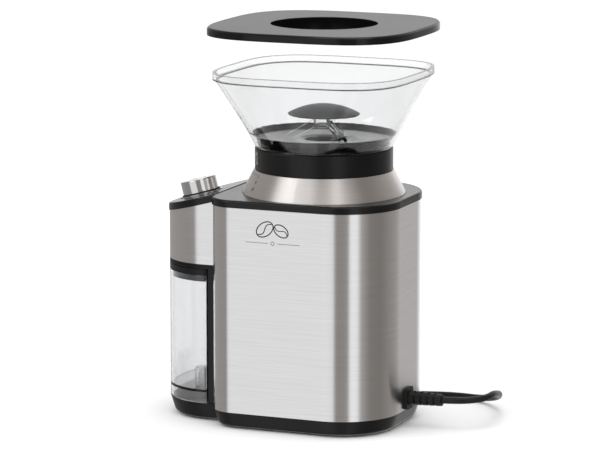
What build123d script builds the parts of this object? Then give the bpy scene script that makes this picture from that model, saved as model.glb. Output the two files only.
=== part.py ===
from build123d import *
import math
import os

# Burr coffee grinder, in millimetres. The pieces are modelled round the upright burr axis
# (x = 0, y = 0), with the front towards -Y and the floor at z = 0. When they are saved they
# move back by AXIS_Y, which puts the origin at the bottom centre of the body and lid.

# Casing
BODY_HALF = 62.2  # half the body's width
BODY_FRONT = 68.2  # burr axis to the front wall
BODY_REAR = 65.7  # burr axis to the rear wall
BODY_FRONT_R = 20.0  # plan radius of the front corners
BODY_REAR_R = 43.7  # plan radius of the rear corners
SHEET = 0.8  # steel sheet
SLEEVE_BOTTOM = 12.6
SLEEVE_TOP = 163.6
FRAME_BAND = 5.4  # height of the top frame's band
FRAME_PROUD = 0.8  # how far the top frame's band stands out from the steel
FRAME_LIP = 4.6  # lip of the top frame inside the sleeve
BASE_BOTTOM = 1.5
BASE_TAPER = 3.8  # how far the base draws in at its lower edge
BASE_WALL = 2.6
BASE_EDGE_R = 3.0
FOOT_R = 7.0
GAP = 0.3  # clearance between fixed neighbours
MOVE_GAP = 0.4  # clearance round pieces that move
RUN_FIT = 0.03  # radial clearance of a shaft in its bearing

# Front unit
UNIT_HALF = 45.0
UNIT_FRONT = 117.0
UNIT_FRONT_R = 38.7
UNIT_FOOT_TOP = 13.5
FLOOR_T = 3.2  # edge of the front unit's floor
PLATE_TILT = 15.0  # slope of the black top plate, in degrees
PLATE_DROP = 7.3  # top of the sleeve down to the plate's front edge
PLATE_T = 5.2
PLATE_PROUD = 0.5  # how far the plate stands out over the steel cover
BACK_PLATE_T = 5.2
KNOB_Y = 97.5  # burr axis to the knob's centre
KNOB_R = 13.4
KNOB_H = 9.6
KNOB_WALL = 1.6
KNOB_FOOT = 1.7  # height of the knob's lower edge over the plate
KNOB_WELL = 4.9  # height of the floor under the button over the plate
BUTTON_R = 5.6
BUTTON_TRAVEL = 1.8
BUTTON_SPARE = 0.6  # room left under the button at full travel
KNOB_SHAFT_R = 3.0
BUTTON_STEM_R = 1.4

# Grounds container
CONTAINER_BOTTOM = 14.0
CONTAINER_TOP = 108.7
CONTAINER_WALL = 2.0
CONTAINER_FLOOR = 23.5  # inside floor level
CONTAINER_REAR = 74.0
LID_BAND = 4.7  # height of the container lid's edge
LID_PLUG = 4.7  # how far the container lid plugs in
FLOOR_GAP = 0.5  # container lid to the front unit's floor

# Drive
SHAFT_R = 4.0
MOTOR_SHAFT_R = 2.5
GEAR_MODULE = 1.0
WHEEL_TEETH = 54
PINION_TEETH = 12
WHEEL_ADDENDUM = 0.75
PINION_ADDENDUM = 1.0
BACKLASH = 0.16
MOTOR_R = 21.0
MOTOR_H = 62.0
DECK_T = 4.0
WHEEL_LIFT = 4.0  # deck to the underside of the large gear
WHEEL_T = 8.0
HOUSING_H = 23.0  # gear housing above the deck
HOUSING_WALL = 2.5
BEARING_R = 11.0
BEARING_T = 7.0
BUSH_R = 7.0

# Burrs and grinding chamber
BURR_R = 24.0
BURR_HOLE = 12.0
BURR_T = 5.0
BURR_GAP = 1.0
BURR_DEPTH = 7.0  # lower burr below the foot of the carrier's seat
HUB_SPACE = 11.0  # chamber floor to the lower burr
BEARING_SEAT = 10.0  # gear housing's cover to the top of the bearing
CHAMBER_R = 30.0
CHAMBER_WALL = 2.5
SEAT_R = 46.0  # bore that holds the upper burr carrier
SEAT_WALL = 2.0
SEAT_H = 24.0
SEAT_DROP = 2.1  # cone's top edge down to the top of the seat
CHUTE_HALF = 14.0
CHUTE_WALL = 2.0
CHUTE_OUT_Y = 87.0  # burr axis to the middle of the chute's outlet
CHUTE_OUT = 8.0  # half the outlet's depth
CHUTE_BEND_Y = 50.0  # burr axis to the bend in the chute's roof

# Adjusting collar and cone
CONE_BASE_R = 59.5
CONE_TOP_R = 51.0
CONE_RISE = 17.1  # top frame to the cone's top edge
COLLAR_R = 50.4
COLLAR_BORE = 46.2
COLLAR_GAP = 0.4  # cone to collar
COLLAR_H = 16.2
COLLAR_SKIRT = 8.4
POINTER_ANGLE = -57.0  # direction of the pointer, in degrees from +X
POINTER_DROP = 7.5  # collar's top to the middle of the pointer
POINTER_W = 11.6
POINTER_H = 9.2

# Bean hopper
HOPPER_GAP = 0.5  # collar to hopper
HOPPER_FOOT_H = 11.0  # steep part at the bottom
HOPPER_FLARE_H = 39.8
HOPPER_LIP_H = 5.2
HOPPER_BASE_R = 50.2
HOPPER_KINK_R = 56.0
HOPPER_HALF = 72.5
HOPPER_WALL = 2.0
HOPPER_STEP = 1.2  # the lip stands this far out from the wall below it
SQUARENESS = 3.6  # exponent of the rounded square rim
NECK_LENGTH = 12.0
THROAT_R = 14.0
TRAY_LIFT = 3.6  # clear band under the tray
TRAY_H = 9.6
CAP_R = 26.3
CAP_LIFT = 23.3  # hopper's bottom to the cap's rim
CAP_H = 7.5
GUARD_HUB_R = 8.0

# Lid
LID_HALF = 77.0
LID_EDGE = 5.7
LID_PLATE = 2.0
LID_SQUARENESS = 3.3
LID_LIFT = 30.7  # the lid is held this far above its seat
DISH_R = 39.0
DISH_DEPTH = 8.0

# Lead
CORD_R = 2.5
CORD_Z = 21.0  # height of the outlet in the rear wall
BOOT_LENGTH = 27.0
COIL_CENTRE = (-104.0, -20.0)
COIL_R = 27.5  # middle of the turns
COIL_LAYERS = 2
PLUG_LENGTH = 35.0
PLUG_BOOT = 16.0
PIN_R = 2.0
PIN_LENGTH = 19.0
PIN_PITCH = 18.2

# Worked out from the sizes above
AXIS_Y = (UNIT_FRONT + PLATE_PROUD - LID_HALF) / 2
LID_BAND_TOP = CONTAINER_TOP + LID_BAND
FLOOR_BOTTOM = LID_BAND_TOP + FLOOR_GAP  # underside of the front unit
COVER_BOTTOM = FLOOR_BOTTOM + FLOOR_T
PLATE_FRONT_Z = SLEEVE_TOP - PLATE_DROP  # top of the plate at its front edge
FRAME_TOP = SLEEVE_TOP + FRAME_BAND
CONE_TOP = FRAME_TOP + CONE_RISE
COLLAR_BOTTOM = CONE_TOP + COLLAR_GAP
COLLAR_TOP = COLLAR_BOTTOM + COLLAR_H
HOPPER_BOTTOM = COLLAR_TOP + HOPPER_GAP
HOPPER_KINK = HOPPER_BOTTOM + HOPPER_FOOT_H
HOPPER_LIP = HOPPER_KINK + HOPPER_FLARE_H
HOPPER_TOP = HOPPER_LIP + HOPPER_LIP_H
TRAY_TOP = HOPPER_BOTTOM + TRAY_H
CAP_RIM = HOPPER_BOTTOM + CAP_LIFT
CAP_TOP = CAP_RIM + CAP_H
POINTER_Z = COLLAR_TOP - POINTER_DROP
SEAT_TOP = CONE_TOP - SEAT_DROP
SEAT_BOTTOM = SEAT_TOP - SEAT_H
LOWER_BURR_BOTTOM = SEAT_BOTTOM - BURR_DEPTH
CHAMBER_BOTTOM = LOWER_BURR_BOTTOM - HUB_SPACE
HOUSING_TOP = CHAMBER_BOTTOM - 1.0 - BEARING_SEAT
DECK_TOP = HOUSING_TOP - HOUSING_H
DECK_BOTTOM = DECK_TOP - DECK_T  # underside of the chassis deck
WHEEL_BOTTOM = DECK_TOP + WHEEL_LIFT
MOTOR_BOTTOM = DECK_BOTTOM - MOTOR_H
MOTOR_Y = GEAR_MODULE * (WHEEL_TEETH + PINION_TEETH) / 2
LOWER_BURR_TOP = LOWER_BURR_BOTTOM + BURR_T
UPPER_BURR_BOTTOM = LOWER_BURR_TOP + BURR_GAP
CARRIER_BOTTOM = UPPER_BURR_BOTTOM + BURR_T
CARRIER_HUB_BOTTOM = LOWER_BURR_BOTTOM - 6.0
POSTS = [(BODY_HALF - 16.0, -BODY_FRONT + 18.0), (BODY_HALF - 26.0, BODY_REAR - 25.0)]
FRAME_POSTS = [(BODY_HALF - 14.2, -30.0), (26.0, BODY_REAR - 19.5)]
FEET = [(BODY_HALF - 40.0, BODY_REAR - 16.0), (UNIT_HALF - 20.0, -UNIT_FRONT + 26.0)]


def both_sides(points):
    """The points and their mirror images across the middle plane."""
    return [(side * x, y) for x, y in points for side in (-1, 1)]


def plan(half, front, rear, front_r, rear_r):
    """Plan outline from y = -front to y = rear with rounded corners."""
    face = Pos(0, (rear - front) / 2) * Rectangle(2 * half, front + rear)
    if front_r > 0:
        face = fillet(face.vertices().group_by(Axis.Y)[0], front_r)
    if rear_r > 0:
        face = fillet(face.vertices().group_by(Axis.Y)[-1], rear_r)
    return face


def body_plan(inset=0.0):
    """Outline of the body, drawn in by inset."""
    front_r = BODY_FRONT_R - inset
    rear_r = BODY_REAR_R - inset
    return plan(BODY_HALF - inset, BODY_FRONT - inset, BODY_REAR - inset, front_r, rear_r)


def unit_plan(inset=0.0, rear=-BODY_FRONT):
    """Outline of the front unit, drawn in by inset and square at the rear."""
    return plan(UNIT_HALF - inset, UNIT_FRONT - inset, rear, UNIT_FRONT_R - inset, 0)


def slab(face, z0, z1):
    """A flat outline made solid between two heights."""
    return Pos(0, 0, z0) * extrude(face, z1 - z0)


def disc(radius, z0, z1, x=0.0, y=0.0):
    """An upright cylinder."""
    return Pos(x, y, z0) * extrude(Circle(radius), z1 - z0)


def tube(outer, inner, z0, z1, x=0.0, y=0.0):
    """An upright tube."""
    return Pos(x, y, z0) * extrude(Circle(outer) - Circle(inner), z1 - z0)


def block(x0, x1, y0, y1, z0, z1):
    """A box given by its limits."""
    middle = Pos((x0 + x1) / 2, (y0 + y1) / 2, (z0 + z1) / 2)
    return middle * Box(abs(x1 - x0), abs(y1 - y0), abs(z1 - z0))


def turned(points):
    """A solid of revolution about the burr axis from radius and height pairs."""
    profile = make_face(Polyline(*points, close=True))
    return revolve(Plane.XZ * profile, Axis.Z)


def rounded_square(half, power, z, points=40):
    """A closed smooth outline at height z; power 2 is a circle, more is squarer."""
    places = []
    for i in range(points):
        angle = 2 * math.pi * i / points
        c, s = math.cos(angle), math.sin(angle)
        r = half / (abs(c) ** power + abs(s) ** power) ** (1 / power)
        places.append((r * c, r * s, z))
    return Face(Wire([Edge.make_spline([Vector(*p) for p in places], periodic=True)]))


def morph(half0, power0, z0, half1, power1, z1):
    """A solid that runs from one rounded outline to another."""
    lower = rounded_square(half0, power0, z0)
    upper = rounded_square(half1, power1, z1)
    return Solid.make_loft([lower.outer_wire(), upper.outer_wire()], ruled=True)


def on_plate(depth=0.0):
    """Location on the sloped top plate at the knob's centre, depth below its surface."""
    rise = (UNIT_FRONT - KNOB_Y) * math.tan(math.radians(PLATE_TILT))
    return Pos(0, -KNOB_Y, PLATE_FRONT_Z + rise) * Rot(PLATE_TILT, 0, 0) * Pos(0, 0, -depth)


def under_slope(depth):
    """A block whose upper face lies depth below the sloped plate's top surface."""
    size = 400.0
    return on_plate(depth) * Pos(0, 0, -size / 2) * Box(size, size, size)


def gear(teeth, addendum, dedendum, thickness, bore):
    """A spur gear with involute flanks and one tooth centred on +X."""
    pitch_r = GEAR_MODULE * teeth / 2
    pressure = math.radians(20)
    base_r = pitch_r * math.cos(pressure)
    tip_r = pitch_r + addendum * GEAR_MODULE
    root_r = pitch_r - dedendum * GEAR_MODULE
    half_tooth = (math.pi * GEAR_MODULE / 2 - BACKLASH) / (2 * pitch_r)
    at_base = half_tooth + math.tan(pressure) - pressure
    start_r = max(base_r, root_r)
    radii = sorted({root_r, *(start_r + (tip_r - start_r) * i / 6 for i in range(7))})
    flank = []
    for r in radii:
        roll = math.sqrt(max((r / base_r) ** 2 - 1, 0))
        flank.append((r, at_base - (roll - math.atan(roll))))
    outline = []
    for i in range(teeth):
        middle = 2 * math.pi * i / teeth
        tooth = [(r, middle - a) for r, a in flank] + [(r, middle + a) for r, a in reversed(flank)]
        outline += [(r * math.cos(a), r * math.sin(a)) for r, a in tooth]
    return extrude(make_face(Polyline(*outline, close=True)) - Circle(bore), thickness)


# ---- casing ----

def tapered(top_face, bottom_face, z0, z1):
    """A shallow solid that draws in towards a rounded lower edge."""
    lower = (Pos(0, 0, z0) * bottom_face).face().outer_wire()
    upper = (Pos(0, 0, z1) * top_face).face().outer_wire()
    solid = Solid.make_loft([lower, upper], ruled=True)
    return fillet(solid.faces().sort_by(Axis.Z)[0].edges(), BASE_EDGE_R)


def base():
    """Moulded pan that carries the body, with the foot of the front unit."""
    floor = BASE_BOTTOM + BASE_WALL
    body = tapered(body_plan(), body_plan(BASE_TAPER), BASE_BOTTOM, SLEEVE_BOTTOM)
    foot = tapered(unit_plan(0, 0), unit_plan(BASE_TAPER, 0), BASE_BOTTOM, UNIT_FOOT_TOP)
    foot -= slab(body_plan(BASE_TAPER), SLEEVE_BOTTOM, UNIT_FOOT_TOP + 1)
    foot -= block(-BODY_HALF, BODY_HALF, -BODY_FRONT, BODY_REAR, SLEEVE_BOTTOM, UNIT_FOOT_TOP + 1)
    pan = body + foot
    pan -= slab(body_plan(BASE_TAPER + BASE_WALL), floor, SLEEVE_BOTTOM + 1)
    pan -= slab(unit_plan(BASE_TAPER + BASE_WALL, 0), floor, SLEEVE_BOTTOM - BASE_WALL)
    spigot = body_plan(SHEET + GAP) - body_plan(SHEET + GAP + 2.0)
    rim = slab(spigot, SLEEVE_BOTTOM - 1, SLEEVE_BOTTOM + 3)
    rim -= block(-12, 12, 0, BODY_REAR + 1, SLEEVE_BOTTOM, SLEEVE_BOTTOM + 4)
    pan += rim + slab(body_plan(BASE_TAPER) - body_plan(BASE_TAPER + BASE_WALL), floor, SLEEVE_BOTTOM - 1)
    for x, y in both_sides(POSTS):
        pan += disc(6.0, floor, floor + 4, x, y)
        pan -= disc(3.4, 0, BASE_BOTTOM + 3.5, x, y)
        pan -= disc(1.8, 0, floor + 5, x, y)
    for x, y in both_sides(FEET):
        pan -= disc(3.0, 0, floor + 1, x, y)
    return pan


def rubber_feet():
    """Four round feet, each with a stem pushed into the base."""
    feet = []
    for x, y in both_sides(FEET):
        pad = disc(FOOT_R, 0, BASE_BOTTOM, x, y)
        feet.append(pad + disc(3.0, BASE_BOTTOM, BASE_BOTTOM + BASE_WALL + 1, x, y))
    return feet


def base_screws():
    """Screws from under the base into the chassis legs."""
    seat = BASE_BOTTOM + 3.5
    return [screw(x, y, seat - 2.0, seat, 16.0) for x, y in both_sides(POSTS)]


def screw(x, y, head_z, seat_z, length, head_r=2.9, shank_r=1.5):
    """A pan head screw; it points up when the head lies under its seat."""
    way = 1 if seat_z > head_z else -1
    head = disc(head_r, min(head_z, seat_z), max(head_z, seat_z), x, y)
    recess = block(x - 2, x + 2, y - 0.4, y + 0.4, head_z, head_z + way * 0.9)
    recess += block(x - 0.4, x + 0.4, y - 2, y + 2, head_z, head_z + way * 0.9)
    end = seat_z + way * length
    return head - recess + disc(shank_r, min(seat_z, end), max(seat_z, end), x, y)


def steel_sleeve():
    """Brushed steel sheet wrapped round the body."""
    shell = slab(body_plan() - body_plan(SHEET), SLEEVE_BOTTOM, SLEEVE_TOP)
    hole = Pos(0, BODY_REAR, CORD_Z) * Rot(90, 0, 0) * Cylinder(6.0, 20)
    half = CHUTE_HALF + 2
    window = block(-half, half, -BODY_FRONT - 1, -BODY_FRONT + 8, CHAMBER_BOTTOM - 21, CHAMBER_BOTTOM + 11)
    return shell - hole - window


def top_frame():
    """Moulded frame that closes the sleeve and seats the steel cone."""
    band = slab(body_plan(-FRAME_PROUD), SLEEVE_TOP, FRAME_TOP)
    band = fillet(band.faces().sort_by(Axis.Z)[-1].edges(), 1.6)
    lip = slab(body_plan(SHEET + GAP), SLEEVE_TOP - FRAME_LIP, SLEEVE_TOP)
    lip -= slab(body_plan(SHEET + GAP + 2.0), SLEEVE_TOP - FRAME_LIP - 1, SLEEVE_TOP)
    frame = band + lip - disc(CONE_BASE_R + GAP, SLEEVE_TOP - FRAME_LIP - 1, FRAME_TOP + 1)
    shelf = tube(CONE_BASE_R + 0.6, CONE_BASE_R - 5.5, SLEEVE_TOP - 1, SLEEVE_TOP + 0.6)
    frame += shelf
    for x, y in both_sides(FRAME_POSTS):
        frame += disc(4.5, DECK_TOP, SLEEVE_TOP + 0.5, x, y)
        frame -= disc(1.5, DECK_TOP - 1, DECK_TOP + 14, x, y)
    rear_z = UNIT_FOOT_TOP + 1
    return frame - block(-UNIT_HALF - 1, UNIT_HALF + 1, -UNIT_FRONT, -BODY_FRONT - GAP, rear_z, FRAME_TOP + 1)


def frame_screws():
    """Screws from under the chassis deck into the posts of the top frame."""
    places = both_sides(FRAME_POSTS)
    return [screw(x, y, DECK_BOTTOM - 2.4, DECK_BOTTOM, 14.0) for x, y in places]


def cone_ring():
    """Brushed steel cone round the adjusting collar."""
    foot = SLEEVE_TOP + 0.9
    outline = [
        (CONE_BASE_R, foot),
        (CONE_BASE_R, FRAME_TOP + 0.3),
        (CONE_TOP_R, CONE_TOP),
        (CONE_TOP_R - SHEET - 0.2, CONE_TOP),
        (CONE_BASE_R - SHEET - 0.2, FRAME_TOP + 0.3),
        (CONE_BASE_R - SHEET - 0.2, foot),
    ]
    return turned(outline)


# ---- front unit ----

def front_cover():
    """Brushed steel cover bent round the front unit."""
    rear = -BODY_FRONT - GAP
    shell = slab(unit_plan(0, rear), COVER_BOTTOM, FRAME_TOP)
    shell -= slab(unit_plan(SHEET, 0), COVER_BOTTOM - 1, FRAME_TOP + 1)
    return shell & under_slope(PLATE_T + 0.1)


def front_top_plate():
    """Sloped black plate that carries the knob."""
    prism = slab(unit_plan(-PLATE_PROUD, -BODY_FRONT - GAP), COVER_BOTTOM, FRAME_TOP + 8)
    plate = (prism & under_slope(0)) - under_slope(PLATE_T)
    top_face = [face for face in plate.faces() if face.normal_at().Z > 0.9][0]
    plate = fillet(top_face.edges().sort_by(Axis.Y)[:-1], 1.2)
    rib = (slab(unit_plan(SHEET + GAP, -BODY_FRONT - 3), COVER_BOTTOM, FRAME_TOP)
           - slab(unit_plan(SHEET + GAP + 1.8, 0), COVER_BOTTOM - 1, FRAME_TOP + 1))
    rib = (rib & under_slope(PLATE_T)) - under_slope(PLATE_T + 4)
    return plate + rib - on_plate(PLATE_T / 2) * Cylinder(KNOB_SHAFT_R + 0.9, 20)


def front_floor():
    """Black floor of the front unit, with the outlet over the container."""
    rear = -BODY_FRONT - GAP
    floor = slab(unit_plan(0, rear), FLOOR_BOTTOM, COVER_BOTTOM)
    groove = unit_plan(-1, rear) - unit_plan(0.7, rear + 2)
    floor -= slab(groove, FLOOR_BOTTOM + 1.3, FLOOR_BOTTOM + 2.0)
    floor += slab(unit_plan(SHEET + GAP, rear), COVER_BOTTOM, COVER_BOTTOM + 2.2)
    floor -= slab(unit_plan(SHEET + GAP + 2.0, rear - 2), COVER_BOTTOM, COVER_BOTTOM + 3)
    half = CHUTE_HALF + GAP
    y0 = -CHUTE_OUT_Y - CHUTE_OUT - GAP
    y1 = -CHUTE_OUT_Y + CHUTE_OUT + GAP
    return floor - block(-half, half, y0, y1, FLOOR_BOTTOM - 1, COVER_BOTTOM + 4)


def back_plate():
    """Black plate behind the container, fixed to the front of the body."""
    y0 = -BODY_FRONT - GAP - BACK_PLATE_T
    y1 = -BODY_FRONT - GAP
    plate = block(-UNIT_HALF + 1.5, UNIT_HALF - 1.5, y0, y1, UNIT_FOOT_TOP + 0.1, FLOOR_BOTTOM - 0.1)
    recess = block(-UNIT_HALF + 7, UNIT_HALF - 7, y0 - 1, y0 + 1.6, UNIT_FOOT_TOP + 8, FLOOR_BOTTOM - 14)
    return plate - recess


def knob_bezel():
    """Bright ring let into the top plate round the knob."""
    ring = on_plate() * extrude(Circle(KNOB_R + 2.6) - Circle(KNOB_R - 4), 0.7)
    return ring


def knob_gasket():
    """Thin black ring under the knob."""
    return on_plate(-0.7) * extrude(Circle(KNOB_R + 0.9) - Circle(KNOB_R - 4), 0.6)


def timer_switch():
    """Rotary timer switch under the top plate."""
    body = on_plate(PLATE_T + 11) * extrude(Rectangle(17, 17), 10.5)
    body += on_plate(PLATE_T + 0.5) * extrude(Circle(KNOB_SHAFT_R + 0.7), PLATE_T - 1.0)
    bore = on_plate(PLATE_T + 8) * extrude(Circle(KNOB_SHAFT_R + RUN_FIT), 20)
    return body - bore


def timer_board():
    """Circuit board that carries the timer switch, with its parts on the underside."""
    board = on_plate(PLATE_T + 12.8) * extrude(Rectangle(56, 30), 1.6)
    chip = on_plate(PLATE_T + 15.0) * Pos(-21, 3) * extrude(Rectangle(10, 7), 2.2)
    relay = on_plate(PLATE_T + 19.0) * Pos(21, 1) * extrude(Rectangle(12, 10), 6.2)
    return board + chip + relay


# ---- knob ----

def knob():
    """Chromed cup selector knob."""
    cup = on_plate(-KNOB_FOOT) * extrude(Circle(KNOB_R), KNOB_H)
    cup = fillet(cup.edges().group_by(Axis((0, 0, 0), plate_normal()))[-1], 0.9)
    cup -= on_plate(-KNOB_FOOT) * extrude(Circle(KNOB_R - KNOB_WALL), KNOB_H - 2.4)
    cup += on_plate(-KNOB_FOOT) * extrude(Circle(BUTTON_R + MOVE_GAP + 1.4), KNOB_H - 1.0)
    well = on_plate(-KNOB_WELL) * extrude(Circle(BUTTON_R + MOVE_GAP), KNOB_H)
    bore = on_plate() * extrude(Circle(KNOB_SHAFT_R), KNOB_H)
    return cup - well - bore


def plate_normal():
    """Outward direction of the sloped plate."""
    tilt = math.radians(PLATE_TILT)
    return (0, -math.sin(tilt), math.cos(tilt))


def knob_shaft():
    """Hollow shaft from the knob to the timer switch."""
    depth = PLATE_T + 7.5
    face = Circle(KNOB_SHAFT_R) - Circle(BUTTON_STEM_R + MOVE_GAP)
    return on_plate(depth) * extrude(face, depth + KNOB_WELL - 0.3)


def start_button():
    """Push button in the middle of the knob, with its stem."""
    low = KNOB_WELL + BUTTON_TRAVEL + BUTTON_SPARE
    head = on_plate(-low) * extrude(Circle(BUTTON_R), KNOB_FOOT + KNOB_H - low)
    head = fillet(head.edges().group_by(Axis((0, 0, 0), plate_normal()))[-1], 0.6)
    depth = PLATE_T + 5.0
    return head + on_plate(depth) * extrude(Circle(BUTTON_STEM_R), depth + low)


# ---- grounds container ----

def container():
    """Clear container with a raised floor and a moulded skirt under it."""
    outer = plan(UNIT_HALF, UNIT_FRONT, -CONTAINER_REAR, UNIT_FRONT_R, 3.0)
    inset = CONTAINER_WALL
    inner = plan(UNIT_HALF - inset, UNIT_FRONT - inset, -CONTAINER_REAR - inset, UNIT_FRONT_R - inset, 1.5)
    body = slab(outer, CONTAINER_BOTTOM, CONTAINER_TOP)
    body -= slab(inner, CONTAINER_FLOOR, CONTAINER_TOP + 1)
    return body - slab(inner, CONTAINER_BOTTOM - 1, CONTAINER_FLOOR - CONTAINER_WALL)


def container_post():
    """Ribbed post that stands on the container's floor."""
    x, y = UNIT_HALF - 15.0, -CONTAINER_REAR - 10.0
    post = tube(5.0, 3.4, CONTAINER_FLOOR, CONTAINER_FLOOR + 14, x, y)
    for i in range(4):
        z = CONTAINER_FLOOR + 1.6 + 3.2 * i
        post += tube(5.8, 4.6, z, z + 1.4, x, y)
    return post


def container_lid():
    """Black lid with a slot under the chute."""
    outer = plan(UNIT_HALF, UNIT_FRONT, -CONTAINER_REAR, UNIT_FRONT_R, 3.0)
    inset = CONTAINER_WALL + GAP
    plug = plan(UNIT_HALF - inset, UNIT_FRONT - inset, -CONTAINER_REAR - inset, UNIT_FRONT_R - inset, 1.2)
    wall = inset + 2.0
    hollow = plan(UNIT_HALF - wall, UNIT_FRONT - wall, -CONTAINER_REAR - wall, UNIT_FRONT_R - wall, 0.8)
    lid = slab(outer, CONTAINER_TOP + 0.1, LID_BAND_TOP)
    lid += slab(plug, CONTAINER_TOP - LID_PLUG, CONTAINER_TOP + 0.1)
    lid -= slab(hollow, CONTAINER_TOP - LID_PLUG - 1, LID_BAND_TOP - 2.5)
    y0 = -CHUTE_OUT_Y - CHUTE_OUT
    y1 = -CHUTE_OUT_Y + CHUTE_OUT
    return lid - block(-CHUTE_HALF, CHUTE_HALF, y0, y1, CONTAINER_TOP - 10, LID_BAND_TOP + 1)


# ---- chassis and drive ----

def chassis():
    """Moulded deck on four legs that carries the motor and the gear housing."""
    deck = slab(body_plan(SHEET + 0.8), DECK_BOTTOM, DECK_TOP)
    deck += disc(BUSH_R + 2, DECK_TOP, DECK_TOP + 2)
    deck -= disc(BUSH_R, DECK_BOTTOM - 1, DECK_TOP + 3)
    deck -= disc(8.7, DECK_BOTTOM - 1, DECK_TOP + 3, 0, MOTOR_Y)
    foot = BASE_BOTTOM + BASE_WALL + 4.2
    for x, y in both_sides(POSTS):
        deck += disc(5.0, foot, DECK_BOTTOM, x, y)
        deck -= disc(1.5, foot - 1, foot + 20, x, y)
    for x, y in both_sides(FRAME_POSTS):
        deck -= disc(1.5, DECK_BOTTOM - 1, DECK_TOP + 1, x, y)
    for x in (-12.5, 12.5):
        deck -= disc(1.7, DECK_BOTTOM - 1, DECK_TOP + 1, x, MOTOR_Y)
    return deck


def motor_can():
    """Steel can of the motor with its front boss."""
    can = disc(MOTOR_R, MOTOR_BOTTOM, DECK_BOTTOM - 0.1, 0, MOTOR_Y)
    can = fillet(can.edges().group_by(Axis.Z)[-1], 1.5)
    can += disc(8.4, DECK_BOTTOM - 1, DECK_TOP + 1, 0, MOTOR_Y)
    can -= disc(MOTOR_SHAFT_R + RUN_FIT, MOTOR_BOTTOM - 1, DECK_TOP + 2, 0, MOTOR_Y)
    for x in (-12.5, 12.5):
        can -= disc(1.5, DECK_BOTTOM - 6, DECK_BOTTOM + 1, x, MOTOR_Y)
    return can


def motor_end_cap():
    """Moulded end cap with the brush holders and two terminals."""
    cap = disc(MOTOR_R - 0.6, MOTOR_BOTTOM - 6, MOTOR_BOTTOM, 0, MOTOR_Y)
    cap = fillet(cap.edges().group_by(Axis.Z)[0], 1.2)
    for x in (-14, 14):
        cap += block(x - 3, x + 3, MOTOR_Y - 4, MOTOR_Y + 4, MOTOR_BOTTOM - 9, MOTOR_BOTTOM - 5)
        cap += block(x - 0.4, x + 0.4, MOTOR_Y - 2.4, MOTOR_Y + 2.4, MOTOR_BOTTOM - 15, MOTOR_BOTTOM - 8)
    return cap - disc(MOTOR_SHAFT_R + 1, MOTOR_BOTTOM - 4, MOTOR_BOTTOM + 1, 0, MOTOR_Y)


def motor_screws():
    """Two screws that hold the motor to the deck."""
    return [screw(x, MOTOR_Y, DECK_TOP + 2, DECK_TOP, 9.0, 2.6) for x in (-12.5, 12.5)]


def motor_shaft():
    """Motor shaft."""
    return disc(MOTOR_SHAFT_R, MOTOR_BOTTOM - 2, WHEEL_BOTTOM + WHEEL_T + 3, 0, MOTOR_Y)


def pinion():
    """Small gear on the motor shaft, with a gap facing the large gear."""
    teeth = gear(PINION_TEETH, PINION_ADDENDUM, WHEEL_ADDENDUM + 0.3, WHEEL_T + 1, MOTOR_SHAFT_R)
    return Pos(0, MOTOR_Y, WHEEL_BOTTOM - 0.5) * Rot(0, 0, 180 / PINION_TEETH - 90) * teeth


def large_gear():
    """Large gear on the spindle, with a tooth facing the pinion."""
    teeth = gear(WHEEL_TEETH, WHEEL_ADDENDUM, PINION_ADDENDUM + 0.25, WHEEL_T, SHAFT_R)
    wheel = Pos(0, 0, WHEEL_BOTTOM) * Rot(0, 0, 90) * teeth
    web = tube(GEAR_MODULE * WHEEL_TEETH / 2 - 4, SHAFT_R + 5, WHEEL_BOTTOM - 1, WHEEL_BOTTOM + 2)
    web += tube(GEAR_MODULE * WHEEL_TEETH / 2 - 4, SHAFT_R + 5, WHEEL_BOTTOM + WHEEL_T - 2, WHEEL_BOTTOM + WHEEL_T + 1)
    return wheel - web + tube(SHAFT_R + 4, SHAFT_R, WHEEL_BOTTOM + WHEEL_T, WHEEL_BOTTOM + WHEEL_T + 3)


def gear_housing():
    """Cover over the gears with the seat of the upper bearing."""
    wheel_r = GEAR_MODULE * (WHEEL_TEETH / 2 + WHEEL_ADDENDUM) + 1.5
    pinion_r = GEAR_MODULE * (PINION_TEETH / 2 + PINION_ADDENDUM) + 9.5
    outer = Circle(wheel_r + HOUSING_WALL) + Pos(0, MOTOR_Y) * Circle(pinion_r + HOUSING_WALL)
    inner = Circle(wheel_r) + Pos(0, MOTOR_Y) * Circle(pinion_r)
    seat_top = CHAMBER_BOTTOM - 1.0
    cover = slab(outer, DECK_TOP + 0.1, HOUSING_TOP) - slab(inner, DECK_TOP, HOUSING_TOP - HOUSING_WALL)
    cover += disc(BEARING_R + 2.5, HOUSING_TOP, seat_top)
    cover -= disc(BEARING_R, seat_top - BEARING_T, seat_top + 1)
    return cover - disc(BEARING_R - 3, HOUSING_TOP - HOUSING_WALL - 1, seat_top)


def spindle_bearing():
    """Ball bearing that carries the top of the spindle."""
    top = CHAMBER_BOTTOM - 1.0
    ring = tube(BEARING_R, SHAFT_R + RUN_FIT, top - BEARING_T, top)
    middle = (BEARING_R + SHAFT_R) / 2
    ring -= tube(middle + 1.4, middle - 1.4, top - 0.8, top + 1)
    return ring - tube(middle + 1.4, middle - 1.4, top - BEARING_T - 1, top - BEARING_T + 0.8)


def spindle_bush():
    """Sintered bush for the foot of the spindle."""
    return tube(BUSH_R, SHAFT_R + RUN_FIT, DECK_BOTTOM, DECK_TOP + 2)


def spindle():
    """Steel spindle with a narrower thread at the top."""
    shaft = disc(SHAFT_R, DECK_BOTTOM + 0.5, LOWER_BURR_BOTTOM)
    return shaft + disc(SHAFT_R - 1, LOWER_BURR_BOTTOM, LOWER_BURR_TOP - 0.5)


# ---- burrs and chamber ----

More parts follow.
